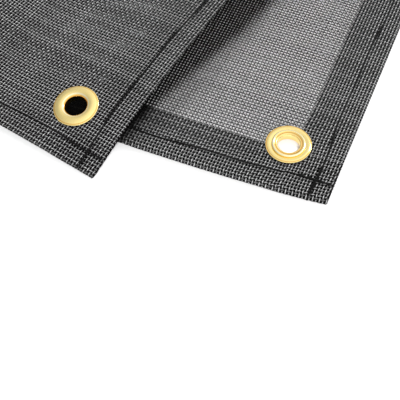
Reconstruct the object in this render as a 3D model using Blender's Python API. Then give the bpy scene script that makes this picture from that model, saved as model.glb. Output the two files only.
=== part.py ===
"""An awning shade screen: a hemmed mesh sheet with a brass eyelet at each corner.

The sheet is folded once and lies on the floor. Its lower layer shows the back, with the
hem flaps and the eyelets' washers. Its upper layer is turned a little and shows the front.
Sheet coordinates: s runs along the bottom edge from the lower layer's right corner, round
the fold, to the upper layer's right edge; t runs from the bottom edge to the top edge.
Everything is in metres.
"""

import math

import bmesh
import bpy
from mathutils import Matrix, Vector

# The flat sheet
SHEET_WIDTH = 0.474
SHEET_HEIGHT = 0.400
MESH_THICKNESS = 0.0012
HEM_THICKNESS = 0.0022
HEM_WIDTH = 0.027
HEM_STEP = 0.0005

# The end strips that hold the eyelets, parted from the sheet by a thin gap
STRIP_WIDTH = 0.0477
PIECE_GAP = 0.0003

# The fold: an oblique line where the two layers would meet if creased flat
FOLD_AT = 0.2958
FOLD_ANGLE = math.radians(-5.25)
BEND_RADIUS = 0.011
BEND_LENGTH = math.pi * BEND_RADIUS
BEND_START = -BEND_LENGTH / 2.0
BEND_STEPS = 10
SETTLE_LENGTH = 0.095

# The lower layer: its bottom edge bows towards the viewer and lifts under the upper layer
BOW_DEPTH = 0.006
BOW_GROWTH = 0.040
BOW_REACH = 0.060
BOW_END = 0.150
BOW_FADE = 0.110
RISE_HEIGHT = 0.0024
RISE_START = 0.070
RISE_LENGTH = 0.060
RISE_END = 0.190
RISE_REACH = 0.060

# The upper layer: its right corner lies on the floor and its right edge stands up
CORNER_HEIGHT = 0.0024
BODY_HEIGHT = 0.0045
BODY_GROWTH = 0.060
EDGE_LIFT = 0.018
EDGE_GROWTH = 0.060
EDGE_REACH = 0.075

# The eyelets, half an inch in the bore and one inch over the flange
EYELET_FROM_SIDE = 0.0315
EYELET_FROM_EDGE = 0.0295
EYELET_STEPS = 24
CLOTH_HOLE_RADIUS = 0.0071
SEAT_RADIUS = 0.014
SEAT_FADE = 0.012
FLANGE_HEIGHT = 0.0015
LIFT_FADE = 0.040

# Turned profiles as radius and height above the front face of the cloth, in millimetres
GROMMET_PROFILE_MM = (
    (12.7, 0.3), (6.8, 0.3), (6.8, -3.3), (8.5, -3.3), (8.8, -3.7), (8.3, -4.2), (7.3, -4.4),
    (6.5, -4.1), (6.1, -3.4), (6.1, 0.3), (6.4, 1.0), (7.2, 1.4), (8.4, 1.5), (9.6, 1.5),
    (11.2, 1.2), (12.3, 0.8), (12.7, 0.55),
)
WASHER_PROFILE_MM = (
    (7.2, -2.5), (12.6, -2.5), (12.6, -2.85), (12.4, -3.0), (11.0, -3.0), (10.4, -3.35),
    (9.8, -3.35), (9.2, -2.95), (7.2, -2.95),
)
MILLIMETRE = 0.001

# Grid lines of the panels
ROWS = (0.0, 0.008, 0.0155, 0.027, 0.0275, 0.0435, 0.060, 0.080, 0.105, 0.140, 0.200)
STRIP_COLUMNS = (0.0, 0.009, 0.0175, 0.027, 0.0275, 0.0455)
LOWER_COLUMNS = (0.060, 0.075, 0.095, 0.115, 0.135, 0.160, 0.190, 0.220, 0.250)
SETTLE_COLUMNS = (0.008, 0.018, 0.030, 0.043, 0.057, 0.072, 0.090, 0.105)
SLANT_START = 0.200
SLANT_END = 0.340
DIFFERENCE_STEP = 0.0005
CUTTER_DEPTH = 4.0
MERGE_DISTANCE = 0.000001
SHARP_ANGLE = math.radians(40.0)

MESH_COLOUR = (0.075, 0.077, 0.080, 1.0)
BRASS_COLOUR = (0.86, 0.67, 0.33, 1.0)


def smooth(x):
    """Rises from 0 to 1 with level ends as x goes from 0 to 1."""
    x = min(max(x, 0.0), 1.0)
    return x * x * (3.0 - 2.0 * x)


def sheet_bow(s, t):
    """How far the bottom edge of the lower layer bows towards the viewer."""
    growth = 1.0 - math.exp(-s / BOW_GROWTH)
    fade = 1.0 - smooth((s - BOW_END) / BOW_FADE)
    return BOW_DEPTH * growth * fade * math.exp(-t / BOW_REACH)


def lower_height(s, t):
    """Height of the lower layer's front face, which lies on the floor."""
    rise = smooth((s - RISE_START) / RISE_LENGTH) * (1.0 - smooth((s - RISE_END) / RISE_LENGTH))
    height = RISE_HEIGHT * rise * math.exp(-t / RISE_REACH)
    for side in (EYELET_FROM_EDGE, SHEET_HEIGHT - EYELET_FROM_EDGE):
        distance = math.hypot(s - EYELET_FROM_SIDE, t - side)
        lift = 1.0 - smooth((distance - SEAT_RADIUS) / LIFT_FADE)
        height = max(height, FLANGE_HEIGHT * lift)
    return height


def upper_height(s, t):
    """Height of the upper layer's front face, away from the bend."""
    inward = SHEET_WIDTH - s
    body = CORNER_HEIGHT + BODY_HEIGHT * (1.0 - math.exp(-(inward + t) / BODY_GROWTH))
    lift = EDGE_LIFT * (1.0 - math.exp(-t / EDGE_GROWTH))
    return body + lift * math.exp(-((inward / EDGE_REACH) ** 2))


def folded_point(s, t):
    """A point of the front face, before the eyelets press their seats flat."""
    bowed = t - sheet_bow(s, t)
    across = (s - FOLD_AT) * math.cos(FOLD_ANGLE) - bowed * math.sin(FOLD_ANGLE)
    along = (s - FOLD_AT) * math.sin(FOLD_ANGLE) + bowed * math.cos(FOLD_ANGLE)
    past_bend = across - BEND_START - BEND_LENGTH
    if across <= BEND_START:
        offset = across
        height = lower_height(s, t)
    elif past_bend < 0.0:
        angle = (across - BEND_START) / BEND_RADIUS
        offset = BEND_START + BEND_RADIUS * math.sin(angle)
        height = BEND_RADIUS * (1.0 - math.cos(angle))
    else:
        offset = BEND_START - past_bend
        settled = smooth(past_bend / SETTLE_LENGTH)
        height = 2.0 * BEND_RADIUS * (1.0 - settled) + upper_height(s, t) * settled
    x = -(FOLD_AT + offset * math.cos(FOLD_ANGLE) + along * math.sin(FOLD_ANGLE))
    y = -offset * math.sin(FOLD_ANGLE) + along * math.cos(FOLD_ANGLE)
    return Vector((x, y, height))


def front_frame(point_at, s, t):
    """Point, direction along s, direction along t and front normal of a surface."""
    step = DIFFERENCE_STEP
    along_s = (point_at(s + step, t) - point_at(s - step, t)).normalized()
    along_t = point_at(s, t + step) - point_at(s, t - step)
    normal = along_s.cross(along_t).normalized()
    return point_at(s, t), along_s, normal.cross(along_s), normal


EYELET_PLACES = {
    f"{layer}_{end}": (s, t)
    for layer, s in (("lower", EYELET_FROM_SIDE), ("upper", SHEET_WIDTH - EYELET_FROM_SIDE))
    for end, t in (("front", EYELET_FROM_EDGE), ("back", SHEET_HEIGHT - EYELET_FROM_EDGE))
}
SEATS = {name: (place, front_frame(folded_point, *place)) for name, place in EYELET_PLACES.items()}


def sheet_point(s, t):
    """A point of the front face, flat around each eyelet."""
    point = folded_point(s, t)
    for (seat_s, seat_t), (origin, along_s, along_t, _normal) in SEATS.values():
        distance = math.hypot(s - seat_s, t - seat_t)
        weight = 1.0 - smooth((distance - SEAT_RADIUS) / SEAT_FADE)
        if weight > 0.0:
            flat = origin + along_s * (s - seat_s) + along_t * (t - seat_t)
            point = point.lerp(flat, weight)
    return point


def sheet_thickness(s, t):
    """Thicker over the hems, where the cloth is turned back on itself."""
    from_edge = min(s, SHEET_WIDTH - s, t, SHEET_HEIGHT - t)
    thin = smooth((from_edge - HEM_WIDTH) / HEM_STEP)
    return HEM_THICKNESS + (MESH_THICKNESS - HEM_THICKNESS) * thin


def plain_material(name, colour, roughness, metallic):
    """A Principled material with one colour."""
    material = bpy.data.materials.new(name)
    material.use_nodes = True
    shader = material.node_tree.nodes["Principled BSDF"]
    shader.inputs["Base Color"].default_value = colour
    shader.inputs["Roughness"].default_value = roughness
    shader.inputs["Metallic"].default_value = metallic
    return material


def new_object(name, mesh, material):
    """Link a mesh to the scene as an object with one material."""
    mesh.materials.clear()
    mesh.materials.append(material)
    obj = bpy.data.objects.new(name, mesh)
    bpy.context.collection.objects.link(obj)
    return obj


def flat_slab(columns, rows, slant):
    """A grid slab in sheet coordinates, front face at z 0 and back face at z -1."""
    bm = bmesh.new()
    across, along = len(columns) - 1, len(rows) - 1
    bmesh.ops.create_grid(bm, x_segments=across, y_segments=along, size=1.0)
    for vert in bm.verts:
        column = columns[round((vert.co.x + 1.0) / 2.0 * across)]
        row = rows[round((vert.co.y + 1.0) / 2.0 * along)]
        vert.co = (column + slant(column, row), row, 0.0)
    extruded = bmesh.ops.extrude_face_region(bm, geom=bm.faces[:])["geom"]
    moved = [item for item in extruded if isinstance(item, bmesh.types.BMVert)]
    bmesh.ops.translate(bm, vec=(0.0, 0.0, -1.0), verts=moved)
    bmesh.ops.recalc_face_normals(bm, faces=bm.faces[:])
    return bm


def cut_holes(mesh, places):
    """Cut the eyelets' round holes through a flat slab with Boolean cutters."""
    slab = bpy.data.objects.new("slab", mesh)
    bpy.context.collection.objects.link(slab)
    cutters = []
    for s, t in places:
        bm = bmesh.new()
        bmesh.ops.create_cone(
            bm, cap_ends=True, segments=EYELET_STEPS, radius1=CLOTH_HOLE_RADIUS,
            radius2=CLOTH_HOLE_RADIUS, depth=CUTTER_DEPTH, matrix=Matrix.Translation((s, t, 0.0)),
        )
        cutter_mesh = bpy.data.meshes.new("cutter")
        bm.to_mesh(cutter_mesh)
        bm.free()
        cutter = bpy.data.objects.new("cutter", cutter_mesh)
        bpy.context.collection.objects.link(cutter)
        cut = slab.modifiers.new("hole", "BOOLEAN")
        cut.operation = "DIFFERENCE"
        cut.object = cutter
        cutters.append(cutter)
    bpy.context.view_layer.update()
    evaluated = slab.evaluated_get(bpy.context.evaluated_depsgraph_get())
    result = bpy.data.meshes.new_from_object(evaluated)
    for helper in [slab, *cutters]:
        bpy.data.objects.remove(helper)
    return result


def drape(mesh):
    """Carry a flat slab's vertices onto the folded sheet."""
    for vert in mesh.vertices:
        s, t, side = vert.co
        _point, _along_s, _along_t, normal = front_frame(sheet_point, s, t)
        depth = -side * sheet_thickness(s, t)
        vert.co = sheet_point(s, t) - normal * depth
    mesh.update()


def make_panel(name, columns, rows, material, places=(), slant=lambda column, row: 0.0):
    """One closed panel of the sheet between the given grid lines."""
    bm = flat_slab(columns, rows, slant)
    mesh = bpy.data.meshes.new(name)
    bm.to_mesh(mesh)
    bm.free()
    if places:
        mesh = cut_holes(mesh, places)
        mesh.name = name
    drape(mesh)
    return new_object(name, mesh, material)


def make_ring(name, profile_mm, seat, material):
    """A ring turned from its profile, about an eyelet's axis."""
    (_place, (origin, along_s, along_t, normal)) = seat
    bm = bmesh.new()
    verts = [bm.verts.new((r * MILLIMETRE, 0.0, h * MILLIMETRE)) for r, h in profile_mm]
    edges = [bm.edges.new((verts[i - 1], verts[i])) for i in range(len(verts))]
    bmesh.ops.spin(
        bm, geom=verts + edges, cent=(0.0, 0.0, 0.0), axis=(0.0, 0.0, 1.0),
        angle=math.tau, steps=EYELET_STEPS, use_merge=True,
    )
    bmesh.ops.remove_doubles(bm, verts=bm.verts[:], dist=MERGE_DISTANCE)
    bmesh.ops.recalc_face_normals(bm, faces=bm.faces[:])
    turn = Matrix((along_s, along_t, normal)).transposed().to_4x4()
    bmesh.ops.transform(bm, matrix=Matrix.Translation(origin) @ turn, verts=bm.verts[:])
    mesh = bpy.data.meshes.new(name)
    bm.to_mesh(mesh)
    bm.free()
    mesh.shade_smooth()
    mesh.set_sharp_from_angle(angle=SHARP_ANGLE)
    return new_object(name, mesh, material)


def slant_along_fold(column, row):
    """Shift the middle columns so that they run along the oblique fold."""
    rising = smooth((column - STRIP_WIDTH) / (SLANT_START - STRIP_WIDTH))
    falling = smooth((SHEET_WIDTH - STRIP_WIDTH - column) / (SHEET_WIDTH - STRIP_WIDTH - SLANT_END))
    return row * math.tan(FOLD_ANGLE) * rising * falling


def main_columns():
    """Columns of the middle panel, close together round the bend."""
    stretch = 1.0 / math.cos(FOLD_ANGLE)
    bend = [
        FOLD_AT + (BEND_START + BEND_LENGTH * k / BEND_STEPS) * stretch
        for k in range(BEND_STEPS + 1)
    ]
    start = STRIP_WIDTH + PIECE_GAP
    settle = [bend[-1] + step for step in SETTLE_COLUMNS]
    return [start, *LOWER_COLUMNS, *bend, *settle, SHEET_WIDTH - start]


def stand_on_floor(objects):
    """Move the whole sheet so that its box stands on the floor, centred on the origin."""
    points = [vert.co for obj in objects for vert in obj.data.vertices]
    low = Vector([min(point[i] for point in points) for i in range(3)])
    high = Vector([max(point[i] for point in points) for i in range(3)])
    shift = Vector((-(low.x + high.x) / 2.0, -(low.y + high.y) / 2.0, -low.z))
    for obj in objects:
        obj.data.transform(Matrix.Translation(shift))


def build():
    """Make every piece of the screen."""
    for old in list(bpy.data.objects):
        bpy.data.objects.remove(old)
    cloth = plain_material("coated_mesh", MESH_COLOUR, 0.5, 0.0)
    brass = plain_material("brass", BRASS_COLOUR, 0.25, 1.0)
    rows = [*ROWS, *(SHEET_HEIGHT - row for row in reversed(ROWS[:-1]))]
    ends = {
        "lower": [*STRIP_COLUMNS, STRIP_WIDTH],
        "upper": [SHEET_WIDTH - s for s in reversed([*STRIP_COLUMNS, STRIP_WIDTH])],
    }
    objects = [make_panel("screen_cloth", main_columns(), rows, cloth, slant=slant_along_fold)]
    for layer, columns in ends.items():
        places = [EYELET_PLACES[f"{layer}_{end}"] for end in ("front", "back")]
        objects.append(make_panel(f"eyelet_strip_{layer}", columns, rows, cloth, places))
    for name, seat in SEATS.items():
        objects.append(make_ring(f"grommet_{name}", GROMMET_PROFILE_MM, seat, brass))
        objects.append(make_ring(f"washer_{name}", WASHER_PROFILE_MM, seat, brass))
    stand_on_floor(objects)


build()
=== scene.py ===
"""An awning shade screen of coated woven mesh, folded once, with brass eyelets at its corners.

A flat place on the hemmed sheet is s and t, in metres. s runs from the lower layer's side edge,
round the fold, to the upper layer's side edge. t runs from the front edge to the back edge.
"""
import logging
import math
from collections.abc import Callable
from dataclasses import dataclass
from enum import Enum

import bmesh
import bpy
import numpy as np
from bpy.types import Material, Mesh, Node, NodeTree, Object
from mathutils import Matrix, Vector


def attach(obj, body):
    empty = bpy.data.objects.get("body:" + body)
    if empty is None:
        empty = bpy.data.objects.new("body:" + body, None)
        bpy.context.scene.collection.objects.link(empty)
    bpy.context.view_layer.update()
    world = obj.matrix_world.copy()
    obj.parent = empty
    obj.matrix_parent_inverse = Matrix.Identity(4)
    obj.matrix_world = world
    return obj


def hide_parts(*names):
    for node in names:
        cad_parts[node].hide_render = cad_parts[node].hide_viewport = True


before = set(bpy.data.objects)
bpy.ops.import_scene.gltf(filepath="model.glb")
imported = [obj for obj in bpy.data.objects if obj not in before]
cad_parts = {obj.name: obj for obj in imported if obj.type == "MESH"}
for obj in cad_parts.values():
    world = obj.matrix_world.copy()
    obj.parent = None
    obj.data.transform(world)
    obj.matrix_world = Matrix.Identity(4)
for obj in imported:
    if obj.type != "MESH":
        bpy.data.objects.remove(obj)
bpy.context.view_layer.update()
MM = 0.001
MERGE_DISTANCE = 1e-7
Array = np.ndarray
Pair = tuple[float, float]
Profile = tuple[Pair, ...]
Surface = Callable[[Array, Array], Array]
logging.basicConfig(level=logging.INFO, format="%(message)s")
log = logging.getLogger("shade_screen")


def smooth(x: Array) -> Array:
    """Ease from 0 to 1."""
    x = np.clip(x, 0.0, 1.0)
    return x * x * (3.0 - 2.0 * x)


def unit(vectors: Array) -> Array:
    """Rows scaled to length 1."""
    return vectors / np.linalg.norm(vectors, axis=1, keepdims=True)


def vertex_array(mesh: Mesh) -> Array:
    """Read a mesh's vertices.

    Args:
        mesh: the mesh.

    Returns:
        Their coordinates as rows.
    """
    coords = np.empty(len(mesh.vertices) * 3)
    mesh.vertices.foreach_get("co", coords)
    return coords.reshape(-1, 3)


def write_values(mesh: Mesh, name: str, values: Array) -> None:
    """Write an attribute with one number for each vertex."""
    mesh.attributes.new(name, "FLOAT", "POINT").data.foreach_set("value", values)


def mesh_from(bm: bmesh.types.BMesh, name: str) -> Mesh:
    """Turn a bmesh into a mesh and free it.

    Args:
        bm: the bmesh.
        name: name of the mesh.

    Returns:
        The mesh.
    """
    mesh = bpy.data.meshes.new(name)
    bm.to_mesh(mesh)
    bm.free()
    return mesh


def add_object(name: str, mesh: Mesh, material: Material) -> Object:
    """Put a mesh into the scene.

    Args:
        name: name of the object.
        mesh: its mesh.
        material: its finish.

    Returns:
        The object.
    """
    mesh.materials.append(material)
    obj = bpy.data.objects.new(name, mesh)
    bpy.context.collection.objects.link(obj)
    return obj


class Edge(Enum):
    """The four hemmed edges of the sheet, each with the phase in which its seam wanders."""

    FRONT = 0.0
    BACK = 2.0
    LOWER_SIDE = 4.0
    UPPER_SIDE = 5.0


@dataclass(frozen=True)
class SheetSizes:
    """The sheet, its fold and how it lies, in metres.

    A growth, a length, a reach or a fade is a distance over which a form comes or goes.
    """

    width: float = 0.474
    height: float = 0.400
    hem: float = 0.027
    hem_fade: float = 2.0 * MM

    # The oblique fold, and how soon the upper layer comes down past it
    fold_at: float = 0.2958
    fold_angle: float = math.radians(-5.25)
    bend_radius: float = 0.011
    settle: float = 0.095

    # The lower layer's front edge bows outward
    bow_depth: float = 0.006
    bow_growth: float = 0.040
    bow_reach: float = 0.060
    bow_end: float = 0.150
    bow_fade: float = 0.110

    # The lower layer rises a little at its front, and stands off the floor inside its hem
    rise_height: float = 0.0024
    rise_start: float = 0.070
    rise_length: float = 0.060
    rise_end: float = 0.190
    rise_reach: float = 0.060
    belly_height: float = 0.0016
    belly_start: float = 0.010
    belly_length: float = 0.030

    # The upper layer lies low at its front corner and stands up along its side edge
    corner_height: float = 0.0024
    body_height: float = 0.0045
    body_growth: float = 0.060
    edge_lift: float = 0.018
    edge_growth: float = 0.060
    edge_reach: float = 0.075

    # The eyelets, the flat seats round them, and the lower layer's rise onto its flanges
    eyelet_from_side: float = 0.0315
    eyelet_from_edge: float = 0.0295
    seat_radius: float = 0.014
    seat_fade: float = 0.012
    flange_height: float = 0.0015
    lift_fade: float = 0.040

    # The shade under the upper layer goes past its side edge, further where that stands up
    shade_reach: float = 0.0045
    shade_growth: float = 0.0125
    shade_start: float = 0.050
    shade_length: float = 0.110
    shade_fade: float = 0.008
    shade_end_fade: float = 4.0 * MM

    # From the sheet's own corner to the part's own place
    shift: tuple[float, float, float] = (0.14471, -0.18382, 0.0)


@dataclass(frozen=True)
class WeaveSizes:
    """Yarn counts and how one yarn runs, in metres."""

    uprights: int = 261
    crossings: int = 205
    yarn_sides: int = 3
    yarn_width: float = 0.98 * MM
    yarn_height: float = 0.54 * MM
    wave: float = 0.24 * MM
    base_depth: float = 0.52 * MM
    layer: float = 1.1 * MM
    hole_radius: float = 8.0 * MM

    # The turned hems: the turn, its two rings, and the yarns of a flap
    turn_radius: float = 0.5 * MM
    turn_rings: Pair = (-0.4 * MM, 0.1 * MM)
    flap_end: float = 26.75 * MM
    flap_ease: float = 2.0 * MM
    upright_flap: int = 15
    crossing_flap: int = 14

    # How far a flap lies further in and along, for the side hems and then the end hems
    floor_slack: Pair = (1.32 * MM, 0.735 * MM)
    floor_shift: Pair = (0.64 * MM, 0.05 * MM)
    top_slack: Pair = (0.30 * MM, 0.19 * MM)
    top_shift: Pair = (0.27 * MM, -0.38 * MM)
    layer_blend: float = 0.04

    # The upper layer's turns from which a yarn is painted in shade, and from which it counts as flap
    painted_shade_turn: float = 0.6 * math.pi
    flap_turn: float = 3.0

    # How much painted light a turned edge gets, how much wider yarns in the painted shade are, and an
    # eyelet's squeeze
    painted_edge_light: float = 0.95
    flatten: float = 0.2
    squeeze: float = 0.26
    squeeze_from: float = 13.0 * MM
    squeeze_fade: float = 8.0 * MM

    # The darkest and the lightest yarn, from 0 to 1. Tones scatter at random, and the upright yarns are
    # kept lighter as a painted highlight along them
    upright_tones: Pair = (0.5, 1.0)
    crossing_tones: Pair = (0.0, 0.85)

    def press(self, distance: Array) -> Array:
        """Share of the cloth's thickness that is left at a distance from an eyelet's centre."""
        near = 1.0 - smooth((distance - self.squeeze_from) / self.squeeze_fade)
        return 1.0 - self.squeeze * near


@dataclass(frozen=True)
class ThreadSizes:
    """The hem's sewing thread, in metres."""

    from_edge: float = 11.0 * MM
    end_gap: float = 0.6 * MM
    sides: int = 5
    thickness: float = 0.95 * MM
    stitch: float = 3.1 * MM
    rings: int = 6
    dip: float = 0.35 * MM
    proud: float = 0.15 * MM

    # A seam wanders in a long wave and a short one
    wobble: float = 1.1 * MM
    waves: Pair = (0.021, 0.0093)
    shares: Pair = (0.6, 0.4)

    # The short back tacks at the corners
    tack_from: float = 3.0 * MM
    tack_to: float = 22.0 * MM
    tack_gap: float = 0.8 * MM
    tack_thickness: float = 0.55 * MM
    tack_swing: float = 1.7 * MM


@dataclass(frozen=True)
class FlatPlace:
    """Where points of the cut cloth lie once its hems are turned.

    Depth is below the front face, press is what an eyelet leaves of the thickness, and a turn is
    the angle round a side hem or an end hem, below 0 at the sheet's far edge.
    """

    s: Array
    t: Array
    depth: Array
    press: Array
    s_turn: Array
    t_turn: Array

    @property
    def turn(self) -> Array:
        """The larger of the two turns, without its sign."""
        return np.maximum(np.abs(self.s_turn), np.abs(self.t_turn))


class FoldedSheet:
    """The front face of the folded sheet, as a surface over its flat width s and height t."""

    STEP = 0.5 * MM

    def __init__(self, sizes: SheetSizes) -> None:
        """Work out where the eyelets press the sheet flat.

        Args:
            sizes: the sheet's sizes.
        """
        self.sizes = sizes
        self.cos, self.sin = math.cos(sizes.fold_angle), math.sin(sizes.fold_angle)
        self.bend_length = math.pi * sizes.bend_radius
        side, edge = sizes.eyelet_from_side, sizes.eyelet_from_edge
        self.eyelets = {
            f"{layer}_{end}": (s, t)
            for layer, s in (("lower", side), ("upper", sizes.width - side))
            for end, t in (("front", edge), ("back", sizes.height - edge))
        }
        self.seats = {name: self._frame(self.folded, *place) for name, place in self.eyelets.items()}

    def heights(self, s: Array, t: Array) -> tuple[Array, Array]:
        """Find how high both layers lie.

        Args:
            s: flat places across.
            t: flat places along.

        Returns:
            Heights above the floor of the layer on the floor and of the layer on top.
        """
        sizes = self.sizes
        rise = smooth((s - sizes.rise_start) / sizes.rise_length)
        rise = rise * (1.0 - smooth((s - sizes.rise_end) / sizes.rise_length))
        lower = sizes.rise_height * rise * np.exp(-t / sizes.rise_reach)
        belly = sizes.belly_height * smooth((s - sizes.belly_start) / sizes.belly_length)
        lower = np.maximum(lower, belly)
        for edge in (sizes.eyelet_from_edge, sizes.height - sizes.eyelet_from_edge):
            distance = np.hypot(s - sizes.eyelet_from_side, t - edge)
            lift = 1.0 - smooth((distance - sizes.seat_radius) / sizes.lift_fade)
            lower = np.maximum(lower, sizes.flange_height * lift)
        inward = sizes.width - s
        body = sizes.body_height * (1.0 - np.exp(-(inward + t) / sizes.body_growth))
        lift = sizes.edge_lift * (1.0 - np.exp(-t / sizes.edge_growth))
        return lower, sizes.corner_height + body + lift * np.exp(-((inward / sizes.edge_reach) ** 2))

    def across_fold(self, s: Array, t: Array) -> tuple[Array, Array]:
        """Measure from the oblique fold line.

        Args:
            s: flat places across.
            t: flat places along.

        Returns:
            Distances across and along the fold line.
        """
        sizes = self.sizes
        bow = sizes.bow_depth * (1.0 - np.exp(-s / sizes.bow_growth))
        bow = bow * (1.0 - smooth((s - sizes.bow_end) / sizes.bow_fade))
        bowed = t - bow * np.exp(-t / sizes.bow_reach)
        from_fold = s - sizes.fold_at
        return from_fold * self.cos - bowed * self.sin, from_fold * self.sin + bowed * self.cos

    def on_floor(self, s: Array, t: Array) -> Array:
        """True where a point belongs to the lower layer."""
        return self.across_fold(s, t)[0] <= -self.bend_length / 2.0

    def under_fold(self, s: Array, t: Array) -> Array:
        """Find what lies in the shade of the upper layer.

        Args:
            s: flat places across.
            t: flat places along.

        Returns:
            1 where the upper layer lies over a place of the lower one, easing to 0 at its edges.
        """
        sizes = self.sizes
        across, along = self.across_fold(s, t)
        above_s = sizes.fold_at - across * self.cos + along * self.sin
        above_t = across * self.sin + along * self.cos
        growth = sizes.shade_growth * smooth((above_t - sizes.shade_start) / sizes.shade_length)
        past = sizes.width + sizes.shade_reach + growth - above_s
        near_end = smooth(above_t / sizes.shade_end_fade)
        far_end = smooth((sizes.height - above_t) / sizes.shade_end_fade)
        return smooth(past / sizes.shade_fade) * (near_end * far_end)

    def folded(self, s: Array, t: Array) -> Array:
        """Fold the flat sheet, without the flat seats of its eyelets.

        Args:
            s: flat places across.
            t: flat places along.

        Returns:
            Points, measured from the sheet's own corner.
        """
        sizes, radius = self.sizes, self.sizes.bend_radius
        across, along = self.across_fold(s, t)
        start = -self.bend_length / 2.0
        past = across - start - self.bend_length
        angle = np.clip((across - start) / radius, 0.0, math.pi)
        settled = smooth(past / sizes.settle)
        floor_height, top_height = self.heights(s, t)
        above = 2.0 * radius * (1.0 - settled) + top_height * settled
        lower, bend = across <= start, past < 0.0
        offset = np.where(lower, across, np.where(bend, start + radius * np.sin(angle), start - past))
        turned = np.where(bend, radius * (1.0 - np.cos(angle)), above)
        height = np.where(lower, floor_height, turned)
        x = -(sizes.fold_at + offset * self.cos + along * self.sin)
        return np.stack([x, -offset * self.sin + along * self.cos, height], axis=1)

    def _frame(self, surface: Surface, s: Array, t: Array) -> tuple[Array, ...]:
        """Set up directions on a surface.

        Args:
            surface: what gives the points of flat places.
            s: flat places across, or one place.
            t: flat places along, or one place.

        Returns:
            Points, directions along s and along t, and front normals.
        """
        s, t = np.atleast_1d(s).astype(float), np.atleast_1d(t).astype(float)
        along_s = unit(surface(s + self.STEP, t) - surface(s - self.STEP, t))
        along_t = surface(s, t + self.STEP) - surface(s, t - self.STEP)
        normal = unit(np.cross(along_s, along_t))
        return surface(s, t), along_s, np.cross(normal, along_s), normal

    def point(self, s: Array, t: Array) -> Array:
        """Find points of the front face, which is flat round each eyelet.

        Args:
            s: flat places across.
            t: flat places along.

        Returns:
            Points, measured from the sheet's own corner.
        """
        points = self.folded(s, t)
        for name, (seat_s, seat_t) in self.eyelets.items():
            origin, along_s, along_t, _normal = self.seats[name]
            distance = np.hypot(s - seat_s, t - seat_t)
            weight = 1.0 - smooth((distance - self.sizes.seat_radius) / self.sizes.seat_fade)
            flat = origin + along_s * (s - seat_s)[:, None] + along_t * (t - seat_t)[:, None]
            points += (flat - points) * weight[:, None]
        return points

    def place(self, s: Array, t: Array) -> tuple[Array, ...]:
        """Give the surface in the part's own place: points, directions along s and t, normals."""
        points, along_s, along_t, normal = self._frame(self.point, s, t)
        return points + np.array(self.sizes.shift), along_s, along_t, normal

    def from_eyelet(self, s: Array, t: Array) -> Array:
        """Distance to the nearest eyelet's centre."""
        return np.min([np.hypot(s - a, t - b) for a, b in self.eyelets.values()], axis=0)

    def in_side_hem(self, s: Array) -> Array:
        """1 over the side hems, easing to 0 past them."""
        inward = np.minimum(s, self.sizes.width - s)
        return 1.0 - smooth((inward - self.sizes.hem) / self.sizes.hem_fade)

    def in_end_hem(self, t: Array) -> Array:
        """1 over the front and back hems, easing to 0 past them."""
        inward = np.minimum(t, self.sizes.height - t)
        return 1.0 - smooth((inward - self.sizes.hem) / self.sizes.hem_fade)


def straight_tubes(
    stations: list[float], lanes: list[float], sides: int, width: float, height: float,
) -> bmesh.types.BMesh:
    """Make straight parallel tubes, rolled up lane by lane from one flat grid.

    Args:
        stations: places of the rings along x.
        lanes: places of the tubes along y.
        sides: how many sides a tube's section has. Three make a ridge on a flat base.
        width: width of the section.
        height: height of the section.

    Returns:
        A bmesh of tubes, open at their ends.
    """
    bm = bmesh.new()
    rows = sides + 1
    columns, across = len(stations) - 1, len(lanes) * rows - 1
    bmesh.ops.create_grid(bm, x_segments=columns, y_segments=across, size=1.0)
    section = [(-1.0, -1.0), (0.0, 1.0), (1.0, -1.0)]
    if sides > 3:
        turns = [math.pi - k * math.tau / sides for k in range(sides)]
        section = [(math.cos(a), math.sin(a)) for a in turns]
    row_of = {}
    for vert in bm.verts:
        column = round((vert.co.x + 1.0) / 2.0 * columns)
        row = round((vert.co.y + 1.0) / 2.0 * across)
        y, z = section[row % rows % sides]
        vert.co = (stations[column], lanes[row // rows] + y * width / 2.0, z * height / 2.0)
        row_of[vert] = row
    between = [face for face in bm.faces if min(row_of[v] for v in face.verts) % rows == sides]
    bmesh.ops.delete(bm, geom=between, context="FACES_ONLY")
    bmesh.ops.remove_doubles(bm, verts=bm.verts[:], dist=MERGE_DISTANCE)
    return bm


def close_tubes(bm: bmesh.types.BMesh) -> None:
    """Cap every open end with a flat face and turn all faces outward.

    Args:
        bm: the tubes.
    """
    for face in bm.faces:
        face.smooth = True
    ends = [edge for edge in bm.edges if len(edge.link_faces) == 1]
    caps = bmesh.ops.holes_fill(bm, edges=ends, sides=0)["faces"]
    for face in caps:
        face.smooth = False
    loose = [vert for vert in bm.verts if not vert.link_faces]
    bmesh.ops.delete(bm, geom=loose, context="VERTS")
    bmesh.ops.recalc_face_normals(bm, faces=bm.faces[:])


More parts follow.
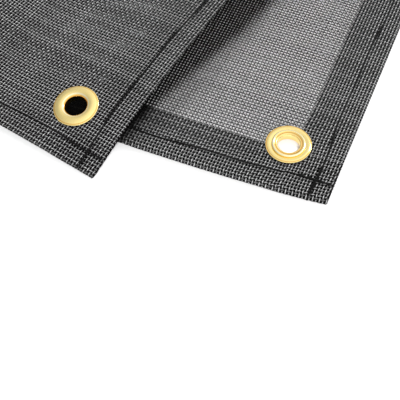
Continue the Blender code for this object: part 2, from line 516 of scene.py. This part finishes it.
class WovenPiece:
    """One region of the woven sheet, every yarn of it a closed tube."""

    # Step, start and stretch of a sine that scatters the yarns' numbers into fixed tones
    SCATTER = (12.9898, 78.233, 43758.5453)

    def __init__(self, sheet: FoldedSheet, weave: WeaveSizes, name: str, first: int, last: int) -> None:
        """Take the region between two upright yarns.

        Args:
            sheet: the sheet it belongs to.
            weave: sizes of the weave.
            name: name of the piece.
            first: its first upright yarn, counted from the lower side edge.
            last: the upright yarn after its last.
        """
        self.sheet, self.weave, self.name = sheet, weave, name
        self.first, self.last = first, last
        self.upright_pitch = sheet.sizes.width / weave.uprights
        self.crossing_pitch = sheet.sizes.height / weave.crossings
        self.joined = bmesh.new()

    def centres(self, first: int, last: int, pitch: float) -> list[float]:
        """Places of the yarns counted from first to before last."""
        return [(k + 0.5) * pitch for k in range(first, last)]

    def joined_stations(self, parity: int, on_flap: bool) -> list[float]:
        """Set the rings of the crossing yarns of one parity, from join to join.

        Args:
            parity: 0 for the even yarns, 1 for the odd.
            on_flap: whether the yarns are on a turned hem.

        Returns:
            Places along s. Each join lies under an upright yarn, on the side that shows.
        """
        ends = []
        for bound in (self.first, self.last):
            place = np.array([bound * self.upright_pitch])
            shows_back = self.sheet.on_floor(place, np.zeros(1))[0] and not on_flap
            hidden = (bound + parity) % 2 == (0 if shows_back else 1)
            ends.append(bound if hidden else bound - 1)
        start = 0 if self.first == 0 else ends[0]
        end = self.weave.uprights if self.last == self.weave.uprights else ends[1] + 1
        return self.centres(start, end, self.upright_pitch)

    def with_hems(
        self, inner: list[float], length: float, count: int, pitch: float, ends: tuple[bool, bool],
    ) -> list[float]:
        """Add the turned hems to a list of rings.

        Args:
            inner: rings of the base.
            length: flat length of the sheet in this direction.
            count: yarns across one hem.
            pitch: spacing of the yarns.
            ends: whether this list reaches the near and the far edge.

        Returns:
            All rings in order.
        """
        flap = [-(k + 0.5) * pitch for k in reversed(range(count))]
        turn = [-self.weave.flap_end, *flap, *self.weave.turn_rings]
        near = turn if ends[0] else []
        far = [length - place for place in reversed(turn)] if ends[1] else []
        return [*near, *inner, *far]

    def turned(self, unfolded: Array, length: float, slack: Array) -> tuple[Array, ...]:
        """Carry unfolded distances round the hems' turned edges.

        Args:
            unfolded: distances over the cut cloth, below 0 or above length on a hem flap.
            length: the sheet's hemmed length.
            slack: how much further in a flap's yarns lie after the turn.

        Returns:
            Distances on the sheet, turns (below 0 at the far edge) and distances past the turn.
        """
        radius = self.weave.turn_radius
        far = unfolded > length / 2.0
        inward = np.where(far, length - unfolded, unfolded)
        angle = np.clip((radius - inward) / radius, 0.0, math.pi)
        past = np.maximum(radius - inward - math.pi * radius, 0.0)
        placed = np.where(inward >= radius, inward, radius * (1.0 - np.sin(angle)) + past)
        placed = placed + slack * smooth(angle / math.pi)
        return np.where(far, length - placed, placed), angle * np.where(far, -1.0, 1.0), past

    def flat_place(self, across: Array, along: Array) -> FlatPlace:
        """Turn the hems of the cut cloth.

        Args:
            across: unfolded distances from the lower side edge.
            along: unfolded distances from the front edge.

        Returns:
            Where those points then lie.
        """
        sizes, weave = self.sheet.sizes, self.weave
        top = smooth((across - sizes.fold_at) / weave.layer_blend + 0.5)
        slack = [a + (b - a) * top for a, b in zip(weave.floor_slack, weave.top_slack)]
        shift = [a + (b - a) * top for a, b in zip(weave.floor_shift, weave.top_shift)]
        s, s_turn, s_past = self.turned(across, sizes.width, slack[0])
        t, t_turn, t_past = self.turned(along, sizes.height, slack[1])
        t = t + shift[1] * smooth(s_past / weave.flap_ease)
        s = s + shift[0] * smooth(t_past / weave.flap_ease)
        thickness = weave.layer * (1.0 + self.sheet.in_side_hem(s))
        depth = weave.base_depth + weave.layer * (1.0 - np.cos(s_turn)) / 2.0
        depth = depth + thickness * (1.0 - np.cos(t_turn)) / 2.0
        press = weave.press(self.sheet.from_eyelet(s, t))
        return FlatPlace(s, t, depth * press, press, s_turn, t_turn)

    def directions(self, flat: FlatPlace, upright: bool) -> tuple[Array, Array, Array]:
        """Find where yarns lie and which way they face.

        Args:
            flat: flat places of their points.
            upright: whether they are upright yarns.

        Returns:
            Points on their middle lines, directions out of the cloth, directions across them.
        """
        points, along_s, along_t, normal = self.sheet.place(flat.s, flat.t)
        side_hem = np.abs(flat.s_turn)[:, None] > 0.0
        turn = np.where(side_hem, flat.s_turn[:, None], flat.t_turn[:, None])
        folding = np.where(side_hem, along_s, along_t)
        outward = normal * np.cos(turn) - folding * np.sin(turn)
        turned = folding * np.cos(turn) + normal * np.sin(turn)
        wide = np.where(side_hem == upright, turned, along_s if upright else along_t)
        return points - normal * flat.depth[:, None], outward, wide

    def drape(self, mesh: Mesh, upright: bool, lane_pitch: float) -> None:
        """Carry straight flat tubes onto the folded sheet, waved over and under one another.

        Args:
            mesh: the tubes, in flat unfolded places.
            upright: whether they are upright yarns.
            lane_pitch: spacing of the tubes.
        """
        coords = vertex_array(mesh)
        lane = np.round(coords[:, 1] / lane_pitch - 0.5)
        centre = (lane + 0.5) * lane_pitch
        offset, height = coords[:, 1] - centre, coords[:, 2]
        crest = height > 0.0
        across, along = (centre, coords[:, 0]) if upright else (coords[:, 0], centre)
        flat = self.flat_place(across, along)

        # Each yarn runs over one neighbour and under the next
        station_pitch = self.crossing_pitch if upright else self.upright_pitch
        over = self.weave.wave * np.cos(np.pi * (coords[:, 0] / station_pitch - 0.5))
        over = over * np.where(lane % 2 == 0, 1.0, -1.0) * (-1.0 if upright else 1.0)
        height, over = height * flat.press, over * flat.press
        shaded = self.sheet.under_fold(flat.s, flat.t) * self.sheet.on_floor(flat.s, flat.t)
        offset = offset * (1.0 + self.weave.flatten * shaded)
        points, outward, wide = self.directions(flat, upright)
        ridge = self.ridge_side(flat)
        points = points + wide * (offset * ridge)[:, None]
        points = points + outward * (height * ridge + over)[:, None]
        mesh.vertices.foreach_set("co", points.ravel())
        if upright:
            mesh.flip_normals()

        # What the finish reads: tones that scatter at random, painted shade and a painted light on the
        # crests, and directions that make a tube look round
        step, start, stretch = self.SCATTER
        scattered = np.sin(lane * step + (start if upright else 0.0)) * stretch % 1.0
        darkest, lightest = self.weave.upright_tones if upright else self.weave.crossing_tones
        bulge = 0.5 + 0.5 * over * ridge / (self.weave.wave * flat.press)
        painted_crest_light = crest * np.maximum(bulge, self.weave.painted_edge_light * np.sin(flat.turn))
        write_values(mesh, "yarn", darkest + (lightest - darkest) * scattered)
        write_values(mesh, "painted_shade", self.painted_shade(flat))
        write_values(mesh, "painted_crest_light", painted_crest_light)
        sideways = (np.where(crest, 0.0, np.sign(offset)) * ridge)[:, None]
        shade = wide * sideways + outward * (crest * ridge)[:, None]
        mesh.attributes.new("shade", "FLOAT_VECTOR", "POINT").data.foreach_set("vector", shade.ravel())

    def painted_shade(self, flat: FlatPlace) -> Array:
        """Find the yarns to paint in shade: those that another layer of the cloth lies over, and those
        in the upper layer's shade.

        Args:
            flat: flat places of their points.

        Returns:
            1 where a yarn is painted in shade, 0 where it shows.
        """
        sheet = self.sheet
        on_floor = sheet.on_floor(flat.s, flat.t)
        side, end = np.abs(flat.s_turn) > 0.0, np.abs(flat.t_turn) > 0.0
        under_side = (sheet.in_side_hem(flat.s) > 0.5) & ~side & ~end
        under_end = (sheet.in_end_hem(flat.t) > 0.5) & ~end
        under_hem = np.where(on_floor, under_side | under_end, flat.turn > self.weave.painted_shade_turn)
        return np.maximum(under_hem * 1.0, sheet.under_fold(flat.s, flat.t) * on_floor)

    def ridge_side(self, flat: FlatPlace) -> Array:
        """Find which face of the cloth the yarns' ridges point out of.

        Args:
            flat: flat places of their points.

        Returns:
            1 for the front, -1 for the back.
        """
        lower = np.where(flat.turn > 0.0, 1.0, -1.0)
        upper = np.where(flat.turn > self.weave.flap_turn, -1.0, 1.0)
        return np.where(self.sheet.on_floor(flat.s, flat.t), lower, upper)

    def cut_holes(self, bm: bmesh.types.BMesh, upright: bool, lane_pitch: float) -> None:
        """Open the cloth where the eyelets' barrels pass.

        Args:
            bm: the tubes, in flat unfolded places.
            upright: whether they are upright yarns.
            lane_pitch: spacing of the tubes.
        """
        centres = np.array([face.calc_center_median() for face in bm.faces])
        lanes = (np.round(centres[:, 1] / lane_pitch - 0.5) + 0.5) * lane_pitch
        across, along = (lanes, centres[:, 0]) if upright else (centres[:, 0], lanes)
        flat = self.flat_place(across, along)
        inside = self.sheet.from_eyelet(flat.s, flat.t) < self.weave.hole_radius
        cut = [face for face, within in zip(bm.faces, inside) if within]
        if cut:
            bmesh.ops.delete(bm, geom=cut, context="FACES")

    def add_yarns(self, stations: list[float], lanes: list[float], upright: bool) -> None:
        """Make one group of parallel yarns and join it to the piece.

        Args:
            stations: places of their rings.
            lanes: places of the yarns.
            upright: whether they are upright yarns.
        """
        weave = self.weave
        lane_pitch = self.upright_pitch if upright else self.crossing_pitch
        bm = straight_tubes(stations, lanes, weave.yarn_sides, weave.yarn_width, weave.yarn_height)
        self.cut_holes(bm, upright, lane_pitch)
        close_tubes(bm)
        mesh = mesh_from(bm, "yarns")
        self.drape(mesh, upright, lane_pitch)
        self.joined.from_mesh(mesh)
        bpy.data.meshes.remove(mesh)

    def weave_yarns(self) -> None:
        """Add the upright yarns, the crossing yarns and those of the hem flaps."""
        weave, sizes = self.weave, self.sheet.sizes
        near, far = self.first == 0, self.last == weave.uprights
        up_pitch, cross_pitch = self.upright_pitch, self.crossing_pitch
        uprights = self.centres(self.first, self.last, up_pitch)
        crossings = self.centres(0, weave.crossings, cross_pitch)
        along = self.with_hems(crossings, sizes.height, weave.crossing_flap, cross_pitch, (True, True))
        self.add_yarns(along, uprights, upright=True)
        for parity in (0, 1):
            inner = self.joined_stations(parity, on_flap=False)
            across = self.with_hems(inner, sizes.width, weave.upright_flap, up_pitch, (near, far))
            self.add_yarns(across, crossings[parity::2], upright=False)
            inner = self.joined_stations(parity, on_flap=True)
            for start in (-weave.crossing_flap, weave.crossings):
                flap = [k for k in range(start, start + weave.crossing_flap) if k % 2 == parity]
                self.add_yarns(inner, [(k + 0.5) * cross_pitch for k in flap], upright=False)
        for reached, start in ((near, -weave.upright_flap), (far, weave.uprights)):
            if reached:
                flap = self.centres(start, start + weave.upright_flap, up_pitch)
                self.add_yarns(crossings, flap, upright=True)

    def build(self, material: Material) -> Object:
        """Weave the region.

        Args:
            material: finish of the yarn.

        Returns:
            The region's object.
        """
        self.weave_yarns()
        mesh = mesh_from(self.joined, self.name)
        shade = np.empty(len(mesh.vertices) * 3)
        mesh.attributes["shade"].data.foreach_get("vector", shade)
        mesh.attributes.remove(mesh.attributes["shade"])
        mesh.normals_split_custom_set_from_vertices(shade.reshape(-1, 3))
        obj = add_object(self.name, mesh, material)
        log.info("%s: %d triangles", self.name, 2 * len(mesh.polygons))
        return obj


class HemThread:
    """The lockstitch that holds the hems, on both faces of the cloth."""

    def __init__(self, sheet: FoldedSheet, weave: WeaveSizes, sizes: ThreadSizes) -> None:
        """Keep the sizes and start an empty mesh."""
        self.sheet, self.weave, self.sizes = sheet, weave, sizes
        self.joined = bmesh.new()

    def line(self, edge: Edge, along: Array) -> tuple[Array, Array]:
        """Lay out a row of stitches, which wanders a little.

        Args:
            edge: hem that the row holds.
            along: distances along the hem.

        Returns:
            Flat places s and t.
        """
        sizes, sheet = self.sizes, self.sheet.sizes
        (long_wave, short_wave), (long_share, short_share) = sizes.waves, sizes.shares
        wander = np.sin(along / long_wave + edge.value) * long_share
        wander = wander + np.sin(along / short_wave + 2.0 * edge.value) * short_share
        inward = sizes.from_edge + wander * sizes.wobble
        if edge is Edge.FRONT:
            return along, inward
        if edge is Edge.BACK:
            return along, sheet.height - inward
        if edge is Edge.LOWER_SIDE:
            return inward, along
        return sheet.width - inward, along

    def add_run(self, edge: Edge, start: float, end: float, back: bool, swing: float = 0.0) -> None:
        """Lay one run of stitches.

        Args:
            edge: hem that the run holds.
            start: where it starts along the hem.
            end: where it ends.
            back: whether it shows on the cloth's back.
            swing: how far a back tack swings sideways, 0 for a plain seam.
        """
        sizes, weave, sheet = self.sizes, self.weave, self.sheet
        count = max(2, round((end - start) / sizes.stitch * sizes.rings))
        stations = [start + (end - start) * k / count for k in range(count + 1)]
        thickness = sizes.tack_thickness if swing else sizes.thickness
        bm = straight_tubes(stations, [0.0], sizes.sides, thickness, thickness)
        close_tubes(bm)
        mesh = mesh_from(bm, "run")
        coords = vertex_array(mesh)
        s, t = self.line(edge, coords[:, 0])
        points, along_s, along_t, normal = sheet.place(s, t)

        # The thread stands proud of the cloth and dips into it between stitches
        layers = 1.0 + (sheet.in_side_hem(s) + sheet.in_end_hem(t))
        full = weave.layer * layers * weave.press(sheet.from_eyelet(s, t))
        arch = np.sqrt(np.abs(np.sin(np.pi * coords[:, 0] / sizes.stitch)))
        sunk = sizes.dip * (1.0 - arch) - sizes.proud
        depth = (full - sunk) if back else sunk
        wide = along_t if edge in (Edge.FRONT, Edge.BACK) else along_s
        points = points - normal * (depth - coords[:, 2])[:, None]
        swung = swing * np.sin(coords[:, 0] / sizes.tack_swing)
        points = points + wide * (coords[:, 1] + swung)[:, None]
        mesh.vertices.foreach_set("co", points.ravel())
        self.joined.from_mesh(mesh)
        bpy.data.meshes.remove(mesh)

    def build(self, material: Material) -> Object:
        """Sew all four hems.

        Args:
            material: finish of the thread.

        Returns:
            The thread's object.
        """
        sizes, sheet = self.sizes, self.sheet.sizes
        for edge in Edge:
            length = sheet.width if edge in (Edge.FRONT, Edge.BACK) else sheet.height
            for back in (False, True):
                self.add_run(edge, sizes.end_gap, length - sizes.end_gap, back)
        for edge in (Edge.FRONT, Edge.LOWER_SIDE):
            for swing in (-sizes.tack_gap, sizes.tack_gap):
                self.add_run(edge, sizes.tack_from, sizes.tack_to, True, swing)
        bmesh.ops.recalc_face_normals(self.joined, faces=self.joined.faces[:])
        mesh = mesh_from(self.joined, "hem_thread")
        log.info("hem_thread: %d faces", len(mesh.polygons))
        return add_object("hem_thread", mesh, material)


class BrassEyelet:
    """A turned grommet and its washer."""

    # Closed profiles, as radius and height above the cloth's front face
    GROMMET_MM = (
        (12.7, 0.3), (6.8, 0.3), (6.8, -3.0), (8.8, -3.0), (9.3, -3.25), (9.2, -3.75), (8.7, -4.1),
        (8.1, -4.05), (7.6, -3.75), (7.2, -3.7), (6.7, -3.75), (6.25, -3.5), (6.05, -2.9), (6.05, 0.2),
        (6.25, 0.85), (6.7, 1.35), (7.5, 1.8), (8.8, 2.1), (9.8, 2.0), (10.9, 1.6), (12.0, 1.0),
        (12.3, 0.9), (12.65, 0.7), (12.7, 0.5),
    )
    WASHER_MM = (
        (7.2, -2.5), (12.6, -2.5), (12.7, -2.8), (12.45, -3.1), (12.1, -3.05), (11.7, -3.2),
        (10.9, -3.35), (10.0, -3.2), (9.3, -3.05), (7.2, -2.95),
    )

    # Turned lines, painted deeper as shade, and crests with a painted highlight: radius, width and
    # side, which is 1 front, -1 back or 0 both
    GROOVES_MM = ((12.05, 0.22, 0.0), (6.45, 0.3, 1.0), (7.35, 0.4, -1.0))
    CRESTS_MM = ((7.35, 0.3, 1.0), (8.8, 0.35, -1.0))
    MIDDLE_MM = -1.5
    STEPS = 72

    # A corner is cut this share of the way along both its sides, this many times over
    CORNER_CUT = 0.2
    CORNER_ROUNDS = 2

    def __init__(self, sheet: FoldedSheet, place: str) -> None:
        """Take the seat at one corner of the sheet.

        Args:
            sheet: the sheet.
            place: name of the corner.
        """
        origin, along_s, along_t, normal = (Vector(rows[0]) for rows in sheet.seats[place])
        turn = Matrix((along_s, along_t, normal)).transposed().to_4x4()
        self.seat = Matrix.Translation(origin + Vector(sheet.sizes.shift)) @ turn
        self.place = place

    def rounded(self, profile: Profile) -> list[Pair]:
        """Cut the corners of a closed profile.

        Args:
            profile: radius and height of its points.

        Returns:
            The points of the rounder profile.
        """
        cut, kept = self.CORNER_CUT, 1.0 - self.CORNER_CUT
        points = list(profile)
        for _ in range(self.CORNER_ROUNDS):
            rounder = []
            for (r0, h0), (r1, h1) in zip(points, [*points[1:], points[0]]):
                rounder.append((kept * r0 + cut * r1, kept * h0 + cut * h1))
                rounder.append((cut * r0 + kept * r1, cut * h0 + kept * h1))
            points = rounder
        return points

    def mark_lines(self, mesh: Mesh, name: str, lines: tuple[tuple[float, ...], ...]) -> None:
        """Write an attribute that is 1 on lines round a ring and fades beside them.

        Args:
            mesh: the ring, in its place.
            name: the attribute's name.
            lines: radius and width in millimetres, and side, of each line.
        """
        coords = vertex_array(mesh) - np.array(self.seat.translation)
        local = coords @ np.array(self.seat.to_3x3())
        radius, height = np.hypot(local[:, 0], local[:, 1]) / MM, local[:, 2] / MM
        marked = np.zeros(len(coords))
        for place, width, side in lines:
            line = np.exp(-((radius - place) / width) ** 2)
            marked = np.maximum(marked, line * ((height - self.MIDDLE_MM) * side >= 0.0))
        write_values(mesh, name, marked)

    def ring(self, node: str, profile: Profile, material: Material) -> Object:
        """Turn one ring about the eyelet's axis.

        Args:
            node: solid that it stands for.
            profile: closed profile, radius and height in millimetres.
            material: finish.

        Returns:
            The ring's object.
        """
        name, bm = f"turned_{node}", bmesh.new()
        verts = [bm.verts.new((r * MM, 0.0, h * MM)) for r, h in self.rounded(profile)]
        edges = [bm.edges.new((verts[k - 1], verts[k])) for k in range(len(verts))]
        bmesh.ops.spin(
            bm, geom=verts + edges, cent=(0.0, 0.0, 0.0), axis=(0.0, 0.0, 1.0),
            angle=math.tau, steps=self.STEPS, use_merge=True,
        )
        bmesh.ops.recalc_face_normals(bm, faces=bm.faces[:])
        bmesh.ops.transform(bm, matrix=self.seat, verts=bm.verts[:])
        mesh = mesh_from(bm, name)
        self.mark_lines(mesh, "groove", self.GROOVES_MM)
        self.mark_lines(mesh, "crest", self.CRESTS_MM)
        mesh.shade_smooth()
        obj = add_object(name, mesh, material)
        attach(obj, "root")
        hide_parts(node)
        return obj

    def build(self, material: Material) -> None:
        """Make the grommet and the washer.

        Args:
            material: finish of the brass.
        """
        for kind, profile in (("grommet", self.GROMMET_MM), ("washer", self.WASHER_MM)):
            ring = self.ring(f"{kind}_{self.place}", profile, material)
            log.info("%s: %d faces", ring.name, len(ring.data.polygons))


def colour(hexed: str) -> tuple[float, float, float, float]:
    """Read an sRGB hex code.

    Args:
        hexed: the code, such as #ffffff.

    Returns:
        The linear colour.
    """
    parts = [int(hexed[k:k + 2], 16) / 255.0 for k in (1, 3, 5)]
    linear = [c / 12.92 if c <= 0.04045 else ((c + 0.055) / 1.055) ** 2.4 for c in parts]
    return (*linear, 1.0)


def add_node(
    tree: NodeTree, kind: str, settings: dict | None = None, links: dict | None = None,
) -> Node:
    """Add a shader node.

    Args:
        tree: node tree.
        kind: node type.
        settings: properties and input values, by name or input number.
        links: output sockets to join to its inputs, by input name or number.

    Returns:
        The node.
    """
    node = tree.nodes.new(kind)
    for key, value in (settings or {}).items():
        if isinstance(key, int) or key in node.inputs:
            node.inputs[key].default_value = value
        else:
            setattr(node, key, value)
    for key, socket in (links or {}).items():
        tree.links.new(socket, node.inputs[key])
    return node


def principled(name: str, hexed: str, roughness: float, metallic: float) -> tuple[Material, Node]:
    """Start a finish.

    Args:
        name: name of the material.
        hexed: its colour.
        roughness: its roughness.
        metallic: 1 for a metal, or else 0.

    Returns:
        The material and its shader node.
    """
    material = bpy.data.materials.new(name)
    material.use_nodes = True
    shader = material.node_tree.nodes["Principled BSDF"]
    shader.inputs["Base Color"].default_value = colour(hexed)
    shader.inputs["Roughness"].default_value = roughness
    shader.inputs["Metallic"].default_value = metallic
    return material, shader


@dataclass(frozen=True)
class CoatedYarn:
    """Polyester yarn in a charcoal vinyl coat."""

    dark: str = "#585858"
    light: str = "#a6a6a6"
    # Painted shade between the yarns' crests
    painted_hollow_shade: str = "#050505"
    # Painted shade on the yarns under another layer or in the upper layer's shade
    hidden: str = "#060606"
    crest_power: float = 2.1
    roughness: float = 0.38
    gloss: Pair = (0.02, 1.0)

    def material(self) -> Material:
        """Build the finish, each yarn a slightly different tone.

        Returns:
            The material.
        """
        # Painted light and shade: the yarns' crests are painted light, the hollows between them and the
        # yarns under another layer or in the upper layer's shade are painted nearly black, and the
        # gloss follows the painted light
        material, shader = principled("charcoal_coated_yarn", self.dark, self.roughness, 0.0)
        tree = material.node_tree
        tone, painted_shade, painted_crest_light = (
            add_node(tree, "ShaderNodeAttribute", {"attribute_name": name}).outputs["Fac"]
            for name in ("yarn", "painted_shade", "painted_crest_light")
        )
        yarns = add_node(
            tree, "ShaderNodeMixRGB", {"Color1": colour(self.dark), "Color2": colour(self.light)},
            {"Fac": tone},
        )
        crest = add_node(
            tree, "ShaderNodeMath", {"operation": "POWER", 1: self.crest_power}, {0: painted_crest_light},
        )
        ridges = add_node(
            tree, "ShaderNodeMixRGB", {"Color1": colour(self.painted_hollow_shade)},
            {"Fac": crest.outputs["Value"], "Color2": yarns.outputs["Color"]},
        )
        layers = add_node(
            tree, "ShaderNodeMixRGB", {"Color2": colour(self.hidden)},
            {"Fac": painted_shade, "Color1": ridges.outputs["Color"]},
        )
        shown = add_node(
            tree, "ShaderNodeMath", {"operation": "SUBTRACT", "use_clamp": True},
            {0: crest.outputs["Value"], 1: painted_shade},
        )
        gloss = add_node(
            tree, "ShaderNodeMapRange", {"To Min": self.gloss[0], "To Max": self.gloss[1]},
            {"Value": shown.outputs["Value"]},
        )
        tree.links.new(layers.outputs["Color"], shader.inputs["Base Color"])
        tree.links.new(gloss.outputs["Result"], shader.inputs["Specular IOR Level"])
        return material


@dataclass(frozen=True)
class SewingThread:
    """Black bonded polyester thread."""

    tint: str = "#050505"
    roughness: float = 0.6
    gloss: float = 0.12

    def material(self) -> Material:
        """Build the finish.

        Returns:
            The material.
        """
        # Bonded thread is a dull black line, darker than the yarn beside it
        material, shader = principled("black_bonded_thread", self.tint, self.roughness, 0.0)
        shader.inputs["Specular IOR Level"].default_value = self.gloss
        return material


@dataclass(frozen=True)
class PolishedBrass:
    """Stamped and polished brass."""

    tint: str = "#ffe79c"
    # Painted shade in the turned lines
    line: str = "#eaae50"
    # Painted highlight on the crests
    painted_highlight: str = "#fff7d4"
    roughness: float = 0.15

    def material(self) -> Material:
        """Build the finish from the rings' lines.

        Returns:
            The material.
        """
        # Polish gives a bright pale gold; the turned lines are painted deeper as shade, and the crests
        # get a painted highlight
        material, shader = principled("polished_brass", self.tint, self.roughness, 1.0)
        tree = material.node_tree
        groove, crest = (
            add_node(tree, "ShaderNodeAttribute", {"attribute_name": name}).outputs["Fac"]
            for name in ("groove", "crest")
        )
        tints = add_node(
            tree, "ShaderNodeMixRGB", {"Color1": colour(self.tint), "Color2": colour(self.line)},
            {"Fac": groove},
        )
        painted_highlight = add_node(
            tree, "ShaderNodeMixRGB", {"Color2": colour(self.painted_highlight)},
            {"Fac": crest, "Color1": tints.outputs["Color"]},
        )
        tree.links.new(painted_highlight.outputs["Color"], shader.inputs["Base Color"])
        return material


@dataclass(frozen=True)
class Softbox:
    """A round softbox: its place, width and power, and whether shiny surfaces mirror it."""

    name: str
    place: tuple[float, float, float]
    size: float
    energy: float
    mirrored: bool = False

    def hang(self) -> None:
        """Hang the lamp so that it faces the object."""
        light = bpy.data.lights.new(self.name, "AREA")
        light.shape = "DISK"
        light.size = self.size
        light.energy = self.energy
        lamp = bpy.data.objects.new(self.name, light)
        bpy.context.collection.objects.link(lamp)
        lamp.location = self.place
        lamp.rotation_euler = (-Vector(self.place)).to_track_quat("-Z", "Y").to_euler()
        lamp.visible_glossy = self.mirrored


@dataclass(frozen=True)
class Studio:
    """White floor, high-key light and the camera."""

    floor_tint: str = "#bfbfbf"
    floor_roughness: float = 0.9
    floor_reach: float = 3.0
    floor_drop: float = 0.3 * MM
    lamps: tuple[Softbox, ...] = (
        Softbox("key", (-0.75, 0.7, 1.0), 0.7, 75.0),
        Softbox("fill", (0.5, -1.1, 1.15), 0.5, 42.0),
        Softbox("sparkle", (0.7, 0.9, 1.0), 0.4, 6.0, mirrored=True),
    )

    # The surroundings brighten from left to right
    left_to_right: Pair = (-0.95, 0.35)
    brightness: Pair = (0.5, 1.25)

    # The camera that the photograph's yarns, hems and eyelets agree with
    lens: float = 89.19
    sensor: float = 36.0
    camera_place: tuple[float, float, float] = (0.19392, -0.47496, 0.4308)
    camera_tilt: float = math.radians(34.1)
    camera_turn: float = math.radians(22.59)

    def floor(self) -> None:
        """Lay the white floor just under the screen."""
        bm = bmesh.new()
        bmesh.ops.create_grid(bm, x_segments=1, y_segments=1, size=self.floor_reach)
        mesh = mesh_from(bm, "floor")
        mesh.transform(Matrix.Translation((0.0, 0.0, -self.floor_drop)))

        # Matt board looks white under the lamps, with soft shadows and no reflection
        material = principled("pale_matt_board", self.floor_tint, self.floor_roughness, 0.0)[0]
        obj = add_object("floor", mesh, material)

    def lights(self) -> None:
        """Set the white surroundings and hang the lamps."""
        world = bpy.data.worlds.new("surroundings")
        world.use_nodes = True
        tree = world.node_tree
        background = tree.nodes["Background"]
        background.inputs["Color"].default_value = colour("#ffffff")
        direction = add_node(tree, "ShaderNodeTexCoord")
        across = add_node(tree, "ShaderNodeSeparateXYZ", {}, {"Vector": direction.outputs["Generated"]})
        (left, right), (dim, bright) = self.left_to_right, self.brightness
        strength = add_node(
            tree, "ShaderNodeMapRange",
            {"From Min": left, "From Max": right, "To Min": dim, "To Max": bright},
            {"Value": across.outputs["X"]},
        )
        tree.links.new(strength.outputs["Result"], background.inputs["Strength"])
        bpy.context.scene.world = world
        bpy.context.scene.view_settings.view_transform = "Standard"
        for lamp in self.lamps:
            lamp.hang()

    def camera(self) -> None:
        """Set the camera where the photograph was taken from."""
        data = bpy.data.cameras.new("camera")
        data.lens = self.lens
        data.sensor_width = self.sensor
        obj = bpy.data.objects.new("camera", data)
        bpy.context.collection.objects.link(obj)
        obj.location = self.camera_place
        obj.rotation_euler = (self.camera_tilt, 0.0, self.camera_turn)
        bpy.context.scene.camera = obj


def main() -> None:
    """Build every piece of the screen and the studio."""
    sheet, weave = FoldedSheet(SheetSizes()), WeaveSizes()
    yarn = CoatedYarn().material()

    # Name of each woven region, its first upright yarn, the one after its last, and its solid
    regions = (
        ("woven_end_lower", 0, 26, "eyelet_strip_lower"),
        ("woven_lower_a", 26, 78, "screen_cloth"),
        ("woven_lower_b", 78, 130, "screen_cloth"),
        ("woven_bend", 130, 183, "screen_cloth"),
        ("woven_upper", 183, 235, "screen_cloth"),
        ("woven_end_upper", 235, 261, "eyelet_strip_upper"),
    )
    for name, first, last, node in regions:
        piece = WovenPiece(sheet, weave, name, first, last).build(yarn)
        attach(piece, "root")
        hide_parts(node)
    thread = HemThread(sheet, weave, ThreadSizes()).build(SewingThread().material())
    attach(thread, "root")
    brass = PolishedBrass().material()
    for place in sheet.eyelets:
        BrassEyelet(sheet, place).build(brass)
    studio = Studio()
    studio.floor()
    studio.lights()
    studio.camera()


if __name__ == "__main__":
    main()
